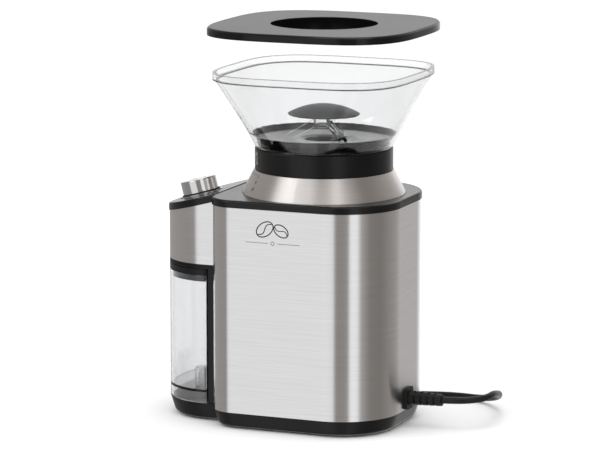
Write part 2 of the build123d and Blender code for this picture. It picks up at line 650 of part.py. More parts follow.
def burr(z0, z1, face_up):
    """A steel burr ring with radial cutting grooves on its working face."""
    ring = tube(BURR_R, BURR_HOLE, z0, z1)
    face_z = z1 if face_up else z0
    for i in range(24):
        groove = Pos(0, 0, face_z) * Rot(0, 0, 15 * i) * Pos(BURR_R - 3, 0, 0) * Rot(0, 0, 24)
        ring -= groove * Box(12, 1.1, 1.8)
    return ring


def lower_burr():
    """Burr that turns with the spindle."""
    return burr(LOWER_BURR_BOTTOM, LOWER_BURR_TOP, True)


def upper_burr():
    """Burr that is set up and down by the collar."""
    return burr(UPPER_BURR_BOTTOM, CARRIER_BOTTOM, False)


def burr_hub():
    """Hub under the lower burr, with the blades that sweep out the grounds."""
    hub = tube(BURR_R, SHAFT_R, CARRIER_HUB_BOTTOM + 2.5, LOWER_BURR_BOTTOM)
    hub += tube(9.5, SHAFT_R, CARRIER_HUB_BOTTOM, CARRIER_HUB_BOTTOM + 2.5)
    reach = CHAMBER_R - 1.2
    for i in range(3):
        blade = block(BURR_R - 1.5, reach, -1.2, 1.2, CARRIER_HUB_BOTTOM, CARRIER_HUB_BOTTOM + 5)
        hub += Rot(0, 0, 120 * i + 30) * blade
    return hub


def feed_nut():
    """Nut with feed vanes that holds the lower burr and pulls beans in."""
    nut = turned([(SHAFT_R - 1, LOWER_BURR_BOTTOM), (9.0, LOWER_BURR_BOTTOM), (9.0, LOWER_BURR_BOTTOM + 3),
                  (5.4, LOWER_BURR_BOTTOM + 11), (0, LOWER_BURR_BOTTOM + 12.5), (0, LOWER_BURR_TOP),
                  (SHAFT_R - 1, LOWER_BURR_TOP)])
    for i in range(2):
        vane = block(3, 10.4, -0.9, 0.9, LOWER_BURR_BOTTOM + 1, LOWER_BURR_BOTTOM + 8)
        nut += Rot(0, 0, 180 * i) * vane
    return nut


def burr_carrier():
    """Carrier of the upper burr, keyed so that it can only rise and fall."""
    outer = SEAT_R - MOVE_GAP
    carrier = turned([
        (BURR_HOLE, CARRIER_BOTTOM), (outer, CARRIER_BOTTOM), (outer, SEAT_TOP - 2), (outer - 3, SEAT_TOP - 2),
        (outer - 3, CARRIER_BOTTOM + 4), (THROAT_R + 5, CARRIER_BOTTOM + 4), (BURR_HOLE, CARRIER_BOTTOM + 2),
    ])
    for angle in (0, 120, 240):
        key = block(outer - 1, SEAT_R + SEAT_WALL - 0.8 - MOVE_GAP, -2.4, 2.4, CARRIER_BOTTOM + 3, SEAT_TOP - 4)
        carrier += Rot(0, 0, angle) * key
    return carrier - tube(BURR_R - 4.9, BURR_R - 8.1, CARRIER_BOTTOM - 1, CARRIER_BOTTOM - 0.5)


def grinding_chamber():
    """Fixed chamber round the burrs, with the bore that guides the burr carrier."""
    wall = CHAMBER_R + CHAMBER_WALL
    chamber = turned([
        (5.0, CHAMBER_BOTTOM), (wall, CHAMBER_BOTTOM), (wall, SEAT_BOTTOM), (SEAT_R + SEAT_WALL, SEAT_BOTTOM),
        (SEAT_R + SEAT_WALL, SEAT_TOP), (SEAT_R, SEAT_TOP), (SEAT_R, SEAT_BOTTOM + 2.5),
        (CHAMBER_R, SEAT_BOTTOM + 2.5), (CHAMBER_R, CHAMBER_BOTTOM + 3), (8.0, CHAMBER_BOTTOM + 3),
        (8.0, CHAMBER_BOTTOM + 1), (5.0, CHAMBER_BOTTOM + 1),
    ])
    for angle in (0, 120, 240):
        keyway = block(SEAT_R - 1, SEAT_R + SEAT_WALL - 0.8, -2.4 - MOVE_GAP, 2.4 + MOVE_GAP,
                       SEAT_BOTTOM + 2.5, SEAT_TOP + 1)
        chamber -= Rot(0, 0, angle) * keyway
    outlet = CHUTE_HALF - CHUTE_WALL - 1
    chamber -= block(-outlet, outlet, -wall - 2, -20, CHAMBER_BOTTOM + 3, SEAT_BOTTOM - 3)
    for angle in (30, 150, 270):
        leg_x = 22.0 * math.cos(math.radians(angle))
        leg_y = 22.0 * math.sin(math.radians(angle))
        chamber += disc(4.0, HOUSING_TOP + 0.1, CHAMBER_BOTTOM + 1, leg_x, leg_y)
    return chamber


def spindle_seal():
    """Felt ring that keeps grounds out of the upper bearing."""
    return tube(8.0, SHAFT_R + 0.05, CHAMBER_BOTTOM + 1, CHAMBER_BOTTOM + 3)


def chute_outline(inset):
    """Side outline of the chute, from the chamber down to the outlet."""
    wall = CHAMBER_R - 6
    low_y, high_y = -CHUTE_OUT_Y - CHUTE_OUT + inset, -CHUTE_OUT_Y + CHUTE_OUT - inset
    return [
        (-wall, CHAMBER_BOTTOM + 1.0 + inset), (-wall, SEAT_BOTTOM - 1.0 - inset),
        (-CHUTE_BEND_Y, SEAT_BOTTOM - 4.0 - inset), (-CHUTE_OUT_Y + 6, CHAMBER_BOTTOM + 4 - inset),
        (low_y, CHAMBER_BOTTOM - 1 - inset),
        (low_y, FLOOR_BOTTOM - 3 * inset), (high_y, FLOOR_BOTTOM - 3 * inset), (high_y, CHAMBER_BOTTOM - 18 + inset),
    ]


def chute():
    """Black duct that takes the grounds forward and down."""
    outer = extrude(Plane.YZ * make_face(Polyline(*chute_outline(0), close=True)), CHUTE_HALF, both=True)
    inner_face = make_face(Polyline(*chute_outline(CHUTE_WALL), close=True))
    inner = extrude(Plane.YZ * inner_face, CHUTE_HALF - CHUTE_WALL, both=True)
    return outer - inner - disc(CHAMBER_R + CHAMBER_WALL + 0.2, CHAMBER_BOTTOM - 10, SEAT_BOTTOM)


def detent_ring():
    """Notched ring that gives the collar its click positions."""
    low = SEAT_BOTTOM + 6.0
    ring = tube(SEAT_R + SEAT_WALL + 3, SEAT_R + SEAT_WALL, low, low + 4)
    for i in range(18):
        angle = -90 + (i - 8.5) * 5
        ring -= Rot(0, 0, angle) * Pos(SEAT_R + SEAT_WALL + 3, 0, low + 2) * Cylinder(1.0, 6)
    return ring


# ---- collar ----

def adjusting_collar():
    """Black collar that the hopper plugs into; turning it sets the burr gap."""
    skirt_in = SEAT_R + SEAT_WALL + MOVE_GAP
    skirt_out = CONE_TOP_R - SHEET - 0.2 - MOVE_GAP
    low = COLLAR_BOTTOM - COLLAR_SKIRT
    collar = turned([
        (COLLAR_BORE, COLLAR_BOTTOM), (skirt_in, COLLAR_BOTTOM), (skirt_in, low), (skirt_out, low),
        (skirt_out, COLLAR_BOTTOM), (COLLAR_R, COLLAR_BOTTOM), (COLLAR_R, COLLAR_TOP),
        (COLLAR_BORE, COLLAR_TOP),
    ])
    top_edge = collar.edges().filter_by(GeomType.CIRCLE).group_by(Axis.Z)[-1].sort_by(SortBy.RADIUS)[-1]
    collar = fillet(top_edge, 1.0)
    ledge = tube(COLLAR_BORE + 0.5, COLLAR_BORE - 4.0, COLLAR_BOTTOM, COLLAR_BOTTOM + 2)
    notch = Rot(0, 0, POINTER_ANGLE) * Pos(COLLAR_R, 0, POINTER_Z) * Box(3.2, POINTER_W + 0.4, POINTER_H + 0.4)
    return collar + ledge - notch


def pointer_tab():
    """Clear pointer let into the collar."""
    tab = Pos(COLLAR_R - 0.9, 0, POINTER_Z) * Box(1.4, POINTER_W, POINTER_H)
    tab += Pos(COLLAR_R - 0.1, 0, POINTER_Z) * Box(0.6, 3.0, 6.4)
    return Rot(0, 0, POINTER_ANGLE) * tab


# ---- hopper ----

def hopper_wall_solid(inset):
    """Outer or inner body of the hopper above its neck."""
    half = HOPPER_HALF - HOPPER_STEP - inset
    body = morph(HOPPER_BASE_R - inset, 2, HOPPER_BOTTOM, HOPPER_KINK_R - inset, 2, HOPPER_KINK)
    return body + morph(HOPPER_KINK_R - inset, 2, HOPPER_KINK, half, SQUARENESS, HOPPER_LIP)


def hopper():
    """Clear hopper: round at the neck, a rounded square at the rim."""
    lip_in = HOPPER_HALF - HOPPER_WALL
    lip = morph(HOPPER_HALF, SQUARENESS, HOPPER_LIP, HOPPER_HALF, SQUARENESS, HOPPER_TOP)
    body = hopper_wall_solid(0) + lip
    cavity = hopper_wall_solid(HOPPER_WALL)
    cavity += morph(lip_in, SQUARENESS, HOPPER_LIP + 0.8, lip_in, SQUARENESS, HOPPER_TOP + 1)
    bridge_half = HOPPER_HALF - HOPPER_STEP - HOPPER_WALL
    cavity += morph(bridge_half, SQUARENESS, HOPPER_LIP, bridge_half, SQUARENESS, HOPPER_LIP + 0.8)
    neck_r = COLLAR_BORE - MOVE_GAP
    neck = tube(neck_r, neck_r - HOPPER_WALL, HOPPER_BOTTOM - NECK_LENGTH, HOPPER_BOTTOM + 0.5)
    ring = tube(HOPPER_BASE_R - 0.2, neck_r - HOPPER_WALL, HOPPER_BOTTOM, HOPPER_BOTTOM + 1.8)
    return body - cavity + neck + ring


def hopper_tray():
    """Dark tray in the bottom of the hopper, with the throat down to the burrs."""
    wall_r = HOPPER_BASE_R + (TRAY_TOP - HOPPER_BOTTOM) * (HOPPER_KINK_R - HOPPER_BASE_R) / (
        HOPPER_KINK - HOPPER_BOTTOM)
    gap = HOPPER_WALL + GAP
    low = HOPPER_BOTTOM + TRAY_LIFT
    low_r = HOPPER_BASE_R - gap
    throat_low = CARRIER_BOTTOM + 5.0
    return turned([
        (THROAT_R, throat_low), (THROAT_R + 1.8, throat_low), (THROAT_R + 1.8, low), (low_r, low),
        (wall_r - gap, TRAY_TOP), (wall_r - gap - 1.6, TRAY_TOP), (wall_r - gap - 3.0, low + 3.4),
        (THROAT_R + 4, low + 2.2), (THROAT_R, low + 1.2),
    ])


def bean_guard():
    """Clear hub on three struts that holds the cap over the throat."""
    floor = HOPPER_BOTTOM + TRAY_LIFT + 2.4
    guard = tube(GUARD_HUB_R, GUARD_HUB_R - 2, CAP_RIM - 9, CAP_RIM + 1.4)
    foot_r = THROAT_R + 14
    outline = [
        (GUARD_HUB_R - 1.6, CAP_RIM - 3), (foot_r, floor + 1.6), (foot_r, floor + 0.3),
        (foot_r - 6, floor + 0.2), (GUARD_HUB_R - 1.6, CAP_RIM - 9),
    ]
    for angle in (55, 175, 295):
        strut = extrude(Plane.XZ * make_face(Polyline(*outline, close=True)), 1.6, both=True)
        guard += Rot(0, 0, angle) * strut
    return guard


def guard_cap():
    """Dark domed cap that stops fingers and steadies the bean flow."""
    rise = CAP_TOP - CAP_RIM - 0.5
    sphere_r = (CAP_R**2 + rise**2) / (2 * rise)
    middle = math.asin(CAP_R / sphere_r) / 2
    crest = (sphere_r * math.sin(middle), CAP_TOP - sphere_r * (1 - math.cos(middle)))
    under = CAP_RIM + 1.4
    outline = [
        Line((0, CAP_TOP), (0, under)),
        Line((0, under), (CAP_R - 3.2, under)),
        Line((CAP_R - 3.2, under), (CAP_R - 3.2, CAP_RIM - 0.4)),
        Line((CAP_R - 3.2, CAP_RIM - 0.4), (CAP_R - 1.0, CAP_RIM - 0.4)),
        Line((CAP_R - 1.0, CAP_RIM - 0.4), (CAP_R, CAP_RIM + 0.5)),
        ThreePointArc((CAP_R, CAP_RIM + 0.5), crest, (0, CAP_TOP)),
    ]
    return revolve(Plane.XZ * make_face(outline), Axis.Z)


# ---- lid ----

def lid():
    """Black lid with a round finger dish, drawn above its seat."""
    seat = HOPPER_TOP + GAP + LID_LIFT
    top = seat + LID_PLATE
    bottom = top - LID_EDGE
    shell = morph(LID_HALF, LID_SQUARENESS, bottom, LID_HALF, LID_SQUARENESS, top - 1.2)
    shell += morph(LID_HALF, LID_SQUARENESS, top - 1.2, LID_HALF - 1.3, LID_SQUARENESS, top)
    rim = HOPPER_HALF + 1.0
    shell -= morph(rim, SQUARENESS, bottom - 1, rim, SQUARENESS, seat)
    ring = HOPPER_HALF - HOPPER_WALL - 0.8
    collar = morph(ring, SQUARENESS, seat - 4.6, ring, SQUARENESS, seat + 0.2)
    collar -= morph(ring - 2, SQUARENESS, seat - 6, ring - 2, SQUARENESS, seat)
    shell += collar
    shell += disc(DISH_R + 2, top - DISH_DEPTH - LID_PLATE, seat + 0.2)
    dish = disc(DISH_R, top - DISH_DEPTH, top + 1)
    return shell - dish


# ---- electrics ----

def power_board():
    """Power board on the base, with its capacitor, relay and rectifier."""
    z = BASE_BOTTOM + BASE_WALL + 5
    board = block(-30, 30, -48, -8, z, z + 1.6)
    board += block(-24, -4, -42, -26, z + 1.6, z + 16)
    board += disc(6.5, z + 1.6, z + 20, 16, -34)
    board += block(4, 26, -24, -12, z + 1.6, z + 9)
    board += block(-26, -2, -20, -16, z + 1.6, z + 22)
    for x, y in ((-26, -44), (26, -44), (-26, -12), (26, -10)):
        board += disc(2.5, BASE_BOTTOM + BASE_WALL + 0.1, z, x, y)
    return board


def hopper_switch():
    """Safety switch that the hopper closes, on the wall of the chamber."""
    x = SEAT_R + SEAT_WALL + 0.4
    low, high = SEAT_BOTTOM - 11, SEAT_BOTTOM
    body = block(x, x + 6, -10, 10, low, high)
    return Rot(0, 0, 100) * body + Rot(0, 0, 100) * disc(1.2, high, high + 2, x + 3, 4)


def container_switch():
    """Safety switch that the container closes, behind the front wall."""
    y = -BODY_FRONT + SHEET + 0.5
    low = DECK_BOTTOM - 16.0
    body = block(-10, 10, y, y + 6.5, low, low + 11)
    return body + Pos(5, y - 0.2, low + 5) * Rot(90, 0, 0) * Cylinder(1.2, 0.6)


def inner_leads():
    """The lead inside the rear wall, and its two cores to the power board."""
    r = 1.1
    z = BASE_BOTTOM + BASE_WALL + 1.6 + r
    front, rear = BODY_REAR - 19.7, BODY_REAR - 4.0
    leads = [Pos(0, rear, CORD_Z) * Rot(90, 0, 0) * extrude(Circle(CORD_R), rear - front)]
    for side in (-1, 1):
        path = FilletPolyline((side * 2, front, z), (side * 25, 30, z), (side * 34, 4, z), (side * 31, -6, z + 6), radius=6)
        start = Plane(path @ 0, z_dir=path % 0)
        leads.append(sweep(start * Circle(r), path))
    return leads


def cord_clamp():
    """Moulded clamp that grips the lead inside the base."""
    floor = BASE_BOTTOM + BASE_WALL
    clamp = block(-9, 9, BODY_REAR - 16.0, BODY_REAR - 8.0, floor + 0.1, CORD_Z + 5)
    return clamp - Pos(0, BODY_REAR - 12.0, CORD_Z) * Rot(90, 0, 0) * Cylinder(CORD_R, 10)


def strain_relief():
    """Ribbed boot and flange where the lead leaves the rear wall, moulded on the lead."""
    at = Pos(0, BODY_REAR, CORD_Z) * Rot(-90, 0, 0)
    boot = at * extrude(Circle(5.5), -4)
    flange = at * Pos(0, 0.3) * extrude(RectangleRounded(13, 16, 2.5), 2.2)
    body = at * Pos(0, 0, 2.2) * Cone(5.3, 4.3, BOOT_LENGTH - 2.2, align=(Align.CENTER, Align.CENTER, Align.MIN))
    for i in range(4):
        notch = at * Pos(0, 0, 6.0 + 5.0 * i) * extrude(Circle(8) - Circle(4.0 - 0.12 * i), 1.7)
        body -= notch & (at * Pos(0, 0, 6.0 + 5.0 * i) * Box(20, 5.2, 12))
        body -= notch & (at * Pos(0, 0, 6.0 + 5.0 * i) * Box(5.2, 20, 12))
    moulded_on = CORD_ROUTE[0][1] - AXIS_Y - BODY_REAR
    return boot + flange + body - at * Pos(0, 0, moulded_on) * extrude(Circle(CORD_R), BOOT_LENGTH)


# Lead route in the saved frame, chosen by hand: out of the boot, down to the floor and
# round to the coil beside the body.
CORD_ROUTE = [
    (0.0, 111.0, 21.0),
    (0.0, 128.5, 22.0),
    (-10.5, 144.0, 23.0),
    (-30.0, 151.0, 22.0),
    (-54.0, 147.0, 16.5),
    (-78.0, 135.5, 8.5),
    (-94.0, 114.0, 2.8),
    (-96.5, 88.0, 2.6),
    (-89.0, 61.0, 2.6),
    (-80.5, 34.0, 2.6),
    (-75.0, 7.0, 2.6),
    (-74.0, -20.0, 2.6),
]


def corner_radii(points):
    """Bend radius at each inner corner: as large as its two runs allow."""
    radii = []
    for a, b, c in zip(points, points[1:], points[2:]):
        first, second = Vector(*b) - Vector(*a), Vector(*c) - Vector(*b)
        turn = math.radians(first.get_angle(second))
        radii.append(0.45 * min(first.length, second.length) / math.tan(turn / 2))
    return radii


def cord():
    """The stretch of the lead that isn't coiled."""
    radii = corner_radii(CORD_ROUTE)
    path = FilletPolyline(*CORD_ROUTE, radius=radii)
    start = Plane(path @ 0, z_dir=path % 0)
    lead = sweep(start * Circle(CORD_R), path)
    print("cord radii", [round(r, 1) for r in radii])
    print("cord length", round(path.length, 1), "volume ratio",
          round(lead.volume / (math.pi * CORD_R**2 * path.length), 4))
    return lead


def cord_coil():
    """Outer shape of the coiled lead."""
    outer = COIL_R + 2 * CORD_R + 0.1
    inner = COIL_R - 2 * CORD_R - 0.1
    ring = tube(outer, inner, 0, 2 * CORD_R * COIL_LAYERS + 0.2, *COIL_CENTRE)
    return fillet(ring.edges(), 1.8)


def plug():
    """Moulded two-pin plug with its boot, lying beside the coil."""
    body = plug_body()
    body += Rot(90, 0, 0) * Cone(3.9, 5.4, PLUG_BOOT, align=(Align.CENTER, Align.CENTER, Align.MAX))
    return plug_place() * body


def plug_place():
    """Where the plug lies: pins towards the front, boot at the coil's last turn."""
    x = COIL_CENTRE[0] + COIL_R + CORD_R
    return Pos(x, COIL_CENTRE[1] - 33.0, 7.0)


def plug_body():
    """Flat body of the plug, wider towards the pins."""
    outline = Polyline((-5.4, 0), (5.4, 0), (12.2, -16), (12.6, -PLUG_LENGTH), (-12.6, -PLUG_LENGTH),
                       (-12.2, -16), close=True)
    body = extrude(make_face(outline), 6.6, both=True)
    return fillet(body.edges().filter_by(Axis.Z), 2.4)


def plug_pins():
    """The plug's two pins, as separate solids."""
    pins = []
    for x in (-PIN_PITCH / 2, PIN_PITCH / 2):
        pin = Rot(90, 0, 0) * Cylinder(PIN_R, PIN_LENGTH, align=(Align.CENTER, Align.CENTER, Align.MIN))
        pin = fillet(pin.edges().group_by(Axis.Y)[0], 1.2)
        pins.append(plug_place() * Pos(x, -PLUG_LENGTH, 0) * pin)
    return pins


def save(name, shape, in_saved_frame=False):
    """Write one node; a list of solids is saved as a group."""
    solids = shape if isinstance(shape, list) else [shape]
    shift = Pos(0, 0 if in_saved_frame else AXIS_Y, 0)
    moved = [solid for item in solids for solid in (shift * item).solids()]
    export_step(moved[0] if len(moved) == 1 else Compound(children=moved), f"parts/{name}.step")


CASING = [base, rubber_feet, base_screws, steel_sleeve, top_frame, frame_screws, cone_ring]
FRONT = [front_cover, front_top_plate, front_floor, back_plate, knob_bezel, knob_gasket, timer_switch,
         timer_board, knob, knob_shaft, start_button, container, container_post, container_lid]
DRIVE = [chassis, motor_can, motor_end_cap, motor_screws, motor_shaft, pinion, large_gear, gear_housing,
         spindle_bearing, spindle_bush, spindle]
GRINDING = [lower_burr, upper_burr, burr_hub, feed_nut, burr_carrier, grinding_chamber, spindle_seal, chute,
            detent_ring, adjusting_collar, pointer_tab, hopper, hopper_tray, bean_guard, guard_cap, lid]
ELECTRICS = [power_board, hopper_switch, container_switch, inner_leads, cord_clamp, strain_relief]
ON_THE_FLOOR = [cord, cord_coil, plug, plug_pins]

os.makedirs("parts", exist_ok=True)
for make in CASING + FRONT + DRIVE + GRINDING + ELECTRICS:
    save(make.__name__, make())
for make in ON_THE_FLOOR:
    save(make.__name__, make(), in_saved_frame=True)
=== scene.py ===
import math

import bmesh
import bpy
from mathutils import Matrix, Vector


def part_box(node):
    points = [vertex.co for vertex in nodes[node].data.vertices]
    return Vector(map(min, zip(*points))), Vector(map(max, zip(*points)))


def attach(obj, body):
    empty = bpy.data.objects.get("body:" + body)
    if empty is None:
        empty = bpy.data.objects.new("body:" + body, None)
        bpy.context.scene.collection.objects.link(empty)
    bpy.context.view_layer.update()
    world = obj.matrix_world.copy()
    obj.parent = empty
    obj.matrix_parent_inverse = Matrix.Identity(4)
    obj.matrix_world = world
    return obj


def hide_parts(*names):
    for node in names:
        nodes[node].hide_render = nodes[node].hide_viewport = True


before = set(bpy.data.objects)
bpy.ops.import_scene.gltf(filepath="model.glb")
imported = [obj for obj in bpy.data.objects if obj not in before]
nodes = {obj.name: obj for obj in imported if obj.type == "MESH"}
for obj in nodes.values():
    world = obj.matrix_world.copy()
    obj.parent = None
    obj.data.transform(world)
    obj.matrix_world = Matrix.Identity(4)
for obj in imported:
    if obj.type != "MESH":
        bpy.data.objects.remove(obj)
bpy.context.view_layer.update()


# ---- camera -------------------------------------------------------------------------
# A long lens a little above the middle of the grinder, off its rear right corner, so that
# the grounds container stands at the left and the lead leaves at the right.
view_azimuth = math.radians(112.33)
view_height = math.radians(10.0)
view_distance = 2.6125
to_camera = Vector((math.sin(view_azimuth) * math.cos(view_height),
                    -math.cos(view_azimuth) * math.cos(view_height), math.sin(view_height)))
lens = bpy.data.cameras.new("camera")
lens.sensor_width = 36.0
lens.lens = 214.3
lens.clip_start, lens.clip_end = 0.1, 60.0
camera = bpy.data.objects.new("camera", lens)
bpy.context.scene.collection.objects.link(camera)
camera.rotation_mode = "QUATERNION"
camera.rotation_quaternion = (-to_camera).to_track_quat("-Z", "Y")
aside = camera.rotation_quaternion @ Vector((-0.01755, 0.02905, 0.0))
camera.location = Vector((0.0, 0.02025, 0.11495)) + to_camera * view_distance + aside
bpy.context.scene.camera = camera


# ---- mains lead ---------------------------------------------------------------------
# A 5 mm lead in a soft black PVC sheath. It leaves the ribbed boot, comes round in a loose
# bend, drops to the floor and ends in a small coil of two layers on the far side of the body.
class Wire:
    """A socket of a material, on which sums can be written."""

    def __init__(self, tree, socket):
        self.tree, self.socket = tree, socket

    def node(self, kind, settings=None, sockets=None, out=0):
        """Adds a node: its settings first, then its sockets. Gives the output that is asked for."""
        made = self.tree.nodes.new("ShaderNode" + kind)
        for name, value in (settings or {}).items():
            if name == "stops":
                ramp = made.color_ramp
                while len(ramp.elements) > 1:
                    ramp.elements.remove(ramp.elements[-1])
                for i, (at, colour) in enumerate(value):
                    stop = ramp.elements[0] if i == 0 else ramp.elements.new(at)
                    stop.position, stop.color = at, (*colour, 1.0)
            else:
                setattr(made, name, value)
        for name, value in (sockets or {}).items():
            if isinstance(value, Wire):
                self.tree.links.new(value.socket, made.inputs[name])
            else:
                made.inputs[name].default_value = value
        return Wire(self.tree, made.outputs[out])

    def sum(self, how, other, turned=False):
        pair = (other, self) if turned else (self, other)
        return self.node("Math", {"operation": how}, {0: pair[0], 1: pair[1]})

    def __add__(self, other):
        return self.sum("ADD", other)

    def __radd__(self, other):
        return self.sum("ADD", other)

    def __sub__(self, other):
        return self.sum("SUBTRACT", other)

    def __rsub__(self, other):
        return self.sum("SUBTRACT", other, True)

    def __mul__(self, other):
        return self.sum("MULTIPLY", other)

    def __rmul__(self, other):
        return self.sum("MULTIPLY", other)

    def __pow__(self, other):
        return self.sum("POWER", other)


def start_finish(name, steady):
    """A finish with its steady values on the shader. Gives it and the object coordinates."""
    finish = bpy.data.materials.new(name)
    finish.use_nodes = True
    tree = finish.node_tree
    shader = tree.nodes["Principled BSDF"]
    for socket, value in steady.items():
        shader.inputs[socket].default_value = value
    place = tree.nodes.new("ShaderNodeTexCoord")
    return finish, Wire(tree, place.outputs["Object"])


def lay_on(finish, varied):
    """Joins what changes over the surface to the finish's shader."""
    shader = finish.node_tree.nodes["Principled BSDF"]
    for socket, wire in varied.items():
        finish.node_tree.links.new(wire.socket, shader.inputs[socket])


def stretch(place, x, y, z):
    """The coordinates scaled along each axis, for grain and brushing."""
    return place.node("Mapping", {"vector_type": "POINT"}, {"Vector": place, "Scale": (x, y, z)})


def mix(factor, first, second):
    """A colour between two others."""
    return factor.node("Mix", {"data_type": "RGBA"}, {0: factor, 6: first, 7: second}, out=2)


def bump(height, strength, distance):
    """A surface normal from a height."""
    return height.node("Bump", {}, {"Strength": strength, "Distance": distance, "Height": height})


def noise(place, scale, detail=2.0, rough=0.5):
    """Cloudy values round 0.5."""
    return place.node("TexNoise", {}, {"Vector": place, "Scale": scale, "Detail": detail,
                                       "Roughness": rough})


def limits(value, low, high, to_low=0.0, to_high=1.0):
    """The value spread from one range to another and kept inside it."""
    return value.node("MapRange", {"clamp": True}, {0: value, 1: low, 2: high, 3: to_low, 4: to_high})


def clean_slate():
    """Nothing selected, so that an operator acts on its own piece only."""
    if bpy.context.mode != "OBJECT":
        bpy.ops.object.mode_set(mode="OBJECT")
    bpy.ops.object.select_all(action="DESELECT")


sheath, place = start_finish("soft black sheath", {"Specular IOR Level": 0.3})
grain = noise(place, 2600.0, 3.0)
rubbed = noise(place, 60.0, 2.0)
lay_on(sheath, {
    "Base Color": mix(limits(rubbed, 0.3, 0.7), (0.006, 0.006, 0.0065, 1), (0.010, 0.010, 0.0105, 1)),
    "Roughness": limits(rubbed, 0.3, 0.7, 0.34, 0.46),
    "Normal": bump(grain, 0.25, 0.0002),
})

# Straight out of the boot, then round a first bend, which starts at bend_y.
lead_exit = (0.0, 0.111, 0.021)
lead_route = [lead_exit, (0.0, 0.1172, 0.0213)]
first_bend, bend_y, bend_step = 0.0215, 0.1215, math.radians(22.5)
for step in range(5):
    angle = bend_step * (step + 0.5)
    control = first_bend / math.cos(bend_step / 2)
    lead_route.append((control * math.cos(angle) - first_bend,
                       bend_y + control * math.sin(angle), 0.0218 + 0.0003 * step))
# Down to the floor and along the far side of the body to the coil.
lead_route += [
    (-0.054, 0.1385, 0.017),
    (-0.077, 0.1290, 0.0085),
    (-0.0925, 0.1105, 0.0028),
    (-0.0965, 0.088, 0.0026),
    (-0.089, 0.061, 0.0026),
    (-0.0805, 0.034, 0.0026),
    (-0.075, 0.007, 0.0026),
]
coil_x, coil_y = -0.104, -0.020
outer_turn, turn_gap = 0.0301, 0.0051
lower_layer = 0.0026
turns, points_a_turn = 4, 16


def eased(value, low, high):
    """0 below low, 1 above high, and a smooth rise between them."""
    t = min(max((value - low) / (high - low), 0.0), 1.0)
    return t * t * (3 - 2 * t)


# Two turns on the floor, the outer one first, and two on top of them, the inner one first.
for step in range(turns * points_a_turn + 1):
    travel = 360.0 * step / points_a_turn
    radius = outer_turn - turn_gap * eased(travel, 205, 325) + turn_gap * eased(travel, 960, 1070)
    height = lower_layer + turn_gap * eased(travel, 610, 715)
    angle = math.radians(-travel)
    control = radius / math.cos(math.pi / points_a_turn)
    lead_route.append((coil_x + control * math.cos(angle), coil_y + control * math.sin(angle), height))
lead_route += [(coil_x + outer_turn, coil_y - 0.009, 0.0075), (coil_x + 0.0300, coil_y - 0.0185, 0.0070)]

lead_curve = bpy.data.curves.new("mains_lead", "CURVE")
lead_curve.dimensions = "3D"
lead_curve.bevel_depth = 0.0025
lead_curve.bevel_resolution = 5
lead_curve.resolution_u = 8
lead_curve.use_fill_caps = True
line = lead_curve.splines.new("NURBS")
line.points.add(len(lead_route) - 1)
for point, spot in zip(line.points, lead_route):
    point.co = (*spot, 1.0)
line.order_u = 3
line.use_endpoint_u = True
mains_lead = bpy.data.objects.new("mains_lead", lead_curve)
bpy.context.scene.collection.objects.link(mains_lead)
lead_curve.materials.append(sheath)
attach(mains_lead, "housing")
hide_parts("cord", "cord_coil")


# ---- base pan, feet and screws ------------------------------------------------------
# The pan is moulded in black ABS with a fine satin grain, a little polished where it is
# handled. Four soft rubber feet push into it and two screws hold it to the legs.
def wear(finish, *names):
    """Gives CAD nodes a finish."""
    for name in names:
        for held in nodes[name].material_slots:
            held.material = finish


def grained(name, dark, light, rough, grain_size, depth):
    """A moulded surface: grain all over, with slightly smoother and lighter patches."""
    finish, place = start_finish(name, {"Specular IOR Level": 0.3})
    grain = noise(place, grain_size, 3.0, 0.6)
    cloud = limits(noise(place, 28.0, 3.0), 0.35, 0.68)
    lay_on(finish, {
        "Base Color": mix(cloud, (*dark, 1), (*light, 1)),
        "Roughness": limits(grain, 0.3, 0.7, *rough) + cloud * 0.03,
        "Normal": bump(grain, 0.18, depth),
    })
    return finish


satin_black = grained("satin black ABS", dark=(0.0045, 0.0045, 0.0050), light=(0.0070, 0.0070, 0.0075),
                      rough=(0.26, 0.35), grain_size=1500.0, depth=0.00012)
wear(satin_black, "base", "front_floor", "back_plate", "container_lid")

foot_rubber = grained("foot rubber", dark=(0.020, 0.020, 0.020), light=(0.032, 0.031, 0.030),
                      rough=(0.62, 0.78), grain_size=2200.0, depth=0.0002)
wear(foot_rubber, "rubber_feet", "knob_gasket")

zinc, place = start_finish("zinc plated screw", {"Metallic": 1.0})
spangle = noise(place, 900.0, 2.0)
lay_on(zinc, {
    "Base Color": mix(limits(spangle, 0.35, 0.65), (0.42, 0.43, 0.44, 1), (0.60, 0.61, 0.62, 1)),
    "Roughness": limits(spangle, 0.35, 0.65, 0.26, 0.42),
})
wear(zinc, "base_screws", "frame_screws", "motor_screws")


# ---- steel casing -------------------------------------------------------------------
# One sheet of stainless steel, brushed round the body and bent at the corners, with the
# same sheet round the front unit. The cone is spun from it and brushed round its axis.
def brushed_steel(name, bright, warm, rough):
    """Stainless steel with long fine scratches that run level round the piece."""
    scratch_depth = 0.00003
    finish, place = start_finish(name, {"Metallic": 1.0, "Anisotropic": 0.85,
                                        "Anisotropic Rotation": 0.25})
    hair = noise(stretch(place, 26.0, 26.0, 4200.0), 1.0, 2.0, 0.6)
    strand = noise(stretch(place, 12.0, 12.0, 1500.0), 1.0, 2.0, 0.5)
    cloud = noise(place, 14.0, 2.0)
    brushing = hair * 0.85 + strand * 0.15
    lay_on(finish, {
        "Base Color": mix(limits(brushing, 0.3, 0.7), (*warm, 1), (*bright, 1)),
        "Roughness": limits(brushing, 0.3, 0.7, *rough) + (cloud - 0.5) * 0.04,
        "Normal": bump(brushing, 0.04, scratch_depth),
    })
    return finish


